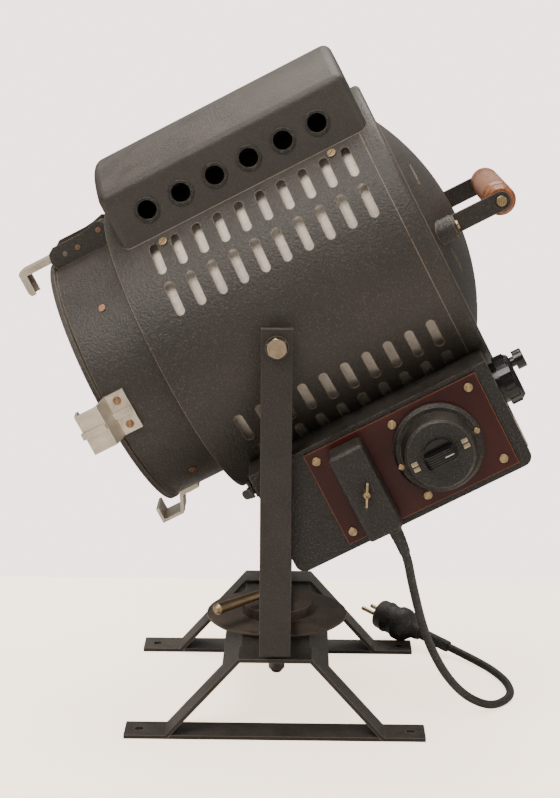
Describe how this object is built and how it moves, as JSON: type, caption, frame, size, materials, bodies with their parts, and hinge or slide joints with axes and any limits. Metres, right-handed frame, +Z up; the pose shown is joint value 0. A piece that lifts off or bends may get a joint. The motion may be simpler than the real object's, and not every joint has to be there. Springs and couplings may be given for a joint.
{
  "type": "drum spotlight",
  "caption": "Drum-shaped stage spotlight with chimney hood, hinged front barrel, transformer box and flat-bar yoke on a table stand, nose down.",
  "frame": {"origin": "on the floor under the pan axis, at the centre of the four foot bolt holes", "axes": "+Z up, -X towards the beam's side, -Y towards the switch panel"},
  "size_m": [0.5132, 0.3873, 0.672],
  "materials": {
    "stand_paint": "worn black-brown enamel on flat bar",
    "casing_paint": "dark warm grey hammered enamel, chipped at edges",
    "box_paint": "black crackle enamel",
    "inner_steel": "dull steel",
    "liner": "aged cream heat-resistant coating",
    "aluminium": "dull yellowed cast aluminium",
    "brass": "tarnished slotted brass",
    "bolt_steel": "yellow-passivated steel",
    "laminate": "maroon laminate with worn edges",
    "bakelite": "glossy black bakelite",
    "wood": "turned orange-brown wood, worn at the middle",
    "rubber": "dusty black rubber",
    "mirror_glass": "silvered glass",
    "lamp_glass": "clear lamp glass",
    "ceramic": "off-white ceramic",
    "copper": "varnished copper winding"
  },
  "bodies": {
    "stand": {"base_arch_near": "stand_paint", "base_arch_far": "stand_paint", "foot_ties": "stand_paint", "saddle_plate": "stand_paint", "pivot_sleeve": "stand_paint", "bearing_plate": "stand_paint", "power_cord_lower": "rubber", "plug_strain_relief": "rubber", "plug_body": "rubber", "plug_pins": "bolt_steel"},
    "yoke": {"yoke_turntable": "stand_paint", "yoke_spacer": "stand_paint", "yoke_bar": "stand_paint", "pan_spindle": "inner_steel", "spindle_ring": "inner_steel"},
    "clamp": {"clamp_hub": "stand_paint", "clamp_lever": "brass"},
    "head": {"casing_shell": "casing_paint", "casing_front_ring": "casing_paint", "rear_pan": "casing_paint", "rear_dome": "casing_paint", "heat_liner": "liner", "hood": "casing_paint", "hood_hole_rings": "casing_paint", "casing_screws": "brass", "tilt_bosses": "casing_paint", "tilt_bolts": "bolt_steel", "tilt_washers": "stand_paint", "handle_arms": "casing_paint", "handle_screws": "brass", "control_box": "box_paint", "control_panel": "laminate", "panel_screws": "brass", "terminal_cover": "box_paint", "cord_gland": "rubber", "switch_ring": "box_paint", "switch_drum": "box_paint", "fuse_holder": "bakelite", "blank_plate": "aluminium", "mirror": "mirror_glass", "mirror_ring": "inner_steel", "lamp_bulb": "lamp_glass", "lamp_cap": "brass", "lamp_socket": "ceramic", "lamp_post": "inner_steel", "transformer_core": "inner_steel", "transformer_coil": "copper", "hinge_lug": "casing_paint", "power_cord_upper": "rubber"},
    "grip": {"handle_grip": "wood"},
    "switch": {"switch_knob": "bakelite"},
    "fuse": {"fuse_cap": "bakelite"},
    "cover_wing": {"cover_wing_screw": "brass"},
    "lock_wing": {"front_lock_screw": "stand_paint"},
    "front": {"front_barrel": "casing_paint", "top_bracket": "casing_paint", "bracket_pins": "brass", "frame_clips": "aluminium", "front_screws": "brass"},
    "hook": {"frame_hook": "aluminium"}
  },
  "joints": [
    {"name": "yoke_pan", "type": "hinge", "parent": "stand", "child": "yoke", "pos_m": [0, 0, 0.083], "axis": [0, 0, 1], "range_deg": [-90, 90], "deforming": ["power_cord_lower"]},
    {"name": "clamp_lever_swing", "type": "hinge", "parent": "yoke", "child": "clamp", "pos_m": [0, 0, 0.111], "axis": [0, 0, 1], "range_deg": [-40, 40]},
    {"name": "head_tilt", "type": "hinge", "parent": "yoke", "child": "head", "pos_m": [0, 0, 0.4036], "axis": [0, -1, 0], "range_deg": [-16, 45], "deforming": ["power_cord_upper"]},
    {"name": "front_open", "type": "hinge", "parent": "head", "child": "front", "pos_m": [-0.17995, 0, 0.49177], "axis": [0, 1, 0], "range_deg": [0, 75]},
    {"name": "hook_lift", "type": "hinge", "parent": "front", "child": "hook", "pos_m": [-0.20023, 0, 0.47422], "axis": [0, 1, 0], "range_deg": [0, 60]},
    {"name": "grip_spin", "type": "hinge", "parent": "head", "child": "grip", "pos_m": [0.21216, 0, 0.53096], "axis": [0, 1, 0], "continuous": true},
    {"name": "switch_turn", "type": "hinge", "parent": "head", "child": "switch", "pos_m": [0.15275, -0.192, 0.30724], "axis": [0, -1, 0], "range_deg": [-120, 120]},
    {"name": "cover_wing_turn", "type": "hinge", "parent": "head", "child": "cover_wing", "pos_m": [0.0848, -0.192, 0.26928], "axis": [0, -1, 0], "continuous": true},
    {"name": "lock_wing_turn", "type": "hinge", "parent": "head", "child": "lock_wing", "pos_m": [-0.02633, -0.05, 0.23544], "axis": [0.4617, 0, -0.887], "continuous": true},
    {"name": "fuse_cap_turn", "type": "hinge", "parent": "head", "child": "fuse", "pos_m": [0.22498, -0.1, 0.37641], "axis": [0.887, 0, 0.4617], "range_deg": [0, 90]}
  ]
}
